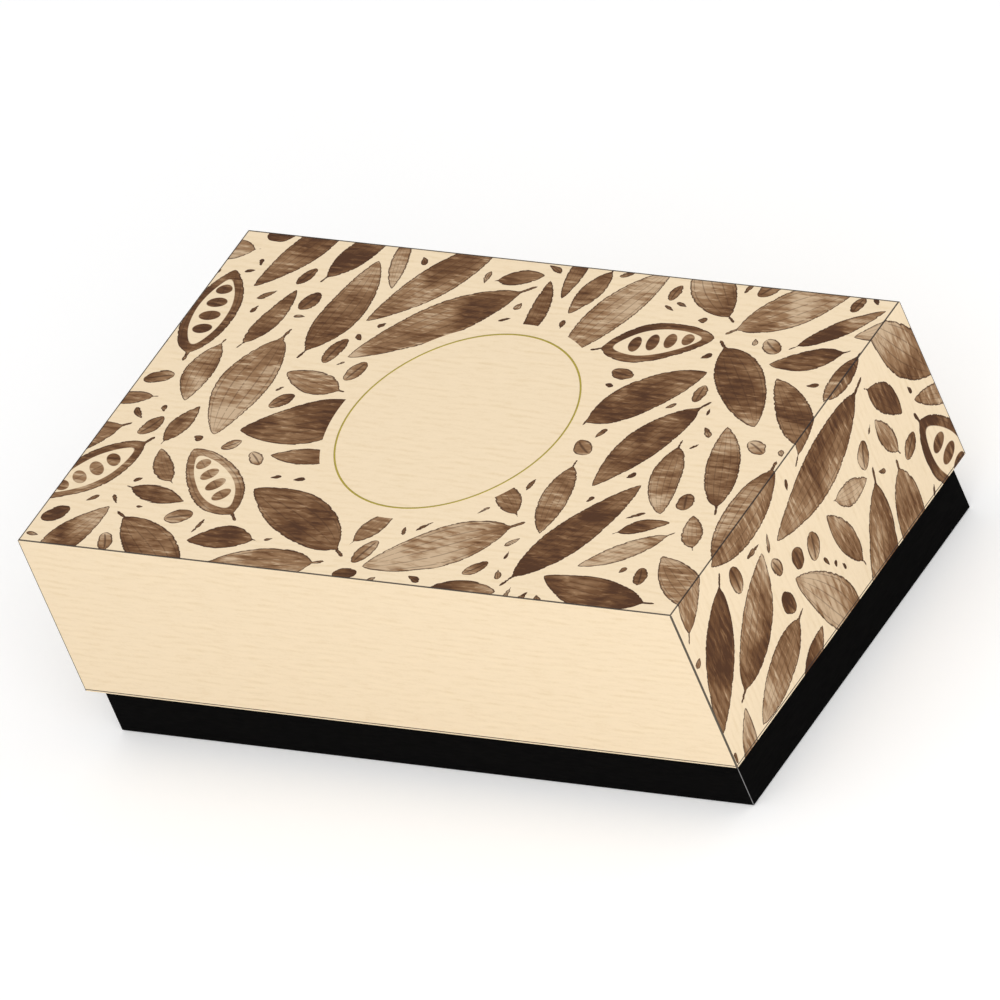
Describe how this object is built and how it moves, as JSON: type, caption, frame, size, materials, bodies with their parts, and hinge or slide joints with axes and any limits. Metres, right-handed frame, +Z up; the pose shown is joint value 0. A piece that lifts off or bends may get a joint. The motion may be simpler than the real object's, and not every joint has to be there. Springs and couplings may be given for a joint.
{
  "type": "chocolate box",
  "caption": "Rigid two-piece rectangular box with a full-depth lift-off lid, holding two layers of bonbons in slotted card grids with cushions, a platform and a menu card.",
  "frame": {"origin": "centre of the base's underside", "axes": "+X along the long side, +Y towards the long side away from the picture's camera, +Z up"},
  "size_m": [0.204, 0.12, 0.0676],
  "materials": {
    "greyboard": "unlined rigid greyboard",
    "stay_paper": "gummed kraft tape",
    "black_paper": "matt black covering paper",
    "printed_paper": "cream ribbed covering paper, printed brown",
    "cream_paper": "cream lining paper",
    "gold_foil": "hot-stamped gold foil",
    "divider_card": "dark brown folding card",
    "cup_paper": "pleated glassine",
    "dark_chocolate": "tempered dark chocolate, satin gloss",
    "milk_chocolate": "tempered milk chocolate, satin gloss",
    "white_chocolate": "white chocolate with dark drizzle",
    "cocoa_dust": "cocoa powder coat, dull",
    "hazelnut": "roasted hazelnut",
    "pad_paper": "embossed padded tissue",
    "gold_card": "gold-laminated card",
    "cream_card": "uncoated cream card"
  },
  "bodies": {
    "base": {"base_board": "greyboard", "base_corner_stays": "stay_paper", "base_wrap": "black_paper", "base_liner": "black_paper", "base_bottom_sheet": "black_paper", "lower_cups": "cup_paper", "lower_ridged_squares": "dark_chocolate", "lower_domes": "dark_chocolate", "lower_forked_squares": "milk_chocolate", "lower_truffles": "cocoa_dust", "lower_plain_squares": "white_chocolate", "lower_pyramids": "dark_chocolate", "lower_nut_squares": "milk_chocolate", "lower_hazelnuts": "hazelnut"},
    "lower_grid": {"lower_long_dividers": "divider_card", "lower_cross_dividers": "divider_card"},
    "lower_cushion": {"lower_pad": "pad_paper"},
    "platform": {"platform_card": "gold_card", "upper_cups": "cup_paper", "upper_ridged_squares": "dark_chocolate", "upper_domes": "dark_chocolate", "upper_forked_squares": "milk_chocolate", "upper_truffles": "cocoa_dust", "upper_plain_squares": "white_chocolate", "upper_pyramids": "dark_chocolate", "upper_nut_squares": "milk_chocolate", "upper_hazelnuts": "hazelnut"},
    "upper_grid": {"upper_long_dividers": "divider_card", "upper_cross_dividers": "divider_card"},
    "upper_cushion": {"upper_pad": "pad_paper"},
    "menu": {"menu_card": "cream_card"},
    "lid": {"lid_board": "greyboard", "lid_corner_stays": "stay_paper", "lid_wrap": "printed_paper", "lid_liner": "cream_paper", "lid_foil_circle": "gold_foil"}
  },
  "joints": [
    {"name": "lower_grid_lift", "type": "slide", "parent": "base", "child": "lower_grid", "axis": [0, 0, 1], "range_m": [0, 0.066]},
    {"name": "lower_cushion_lift", "type": "slide", "parent": "lower_grid", "child": "lower_cushion", "axis": [0, 0, 1], "range_m": [0, 0.04]},
    {"name": "platform_lift", "type": "slide", "parent": "lower_cushion", "child": "platform", "axis": [0, 0, 1], "range_m": [0, 0.04]},
    {"name": "upper_grid_lift", "type": "slide", "parent": "platform", "child": "upper_grid", "axis": [0, 0, 1], "range_m": [0, 0.04]},
    {"name": "upper_cushion_lift", "type": "slide", "parent": "upper_grid", "child": "upper_cushion", "axis": [0, 0, 1], "range_m": [0, 0.02]},
    {"name": "menu_lift", "type": "slide", "parent": "upper_cushion", "child": "menu", "axis": [0, 0, 1], "range_m": [0, 0.02]},
    {"name": "lid_lift", "type": "slide", "parent": "menu", "child": "lid", "axis": [0, 0, 1], "range_m": [0, 0.09]}
  ]
}
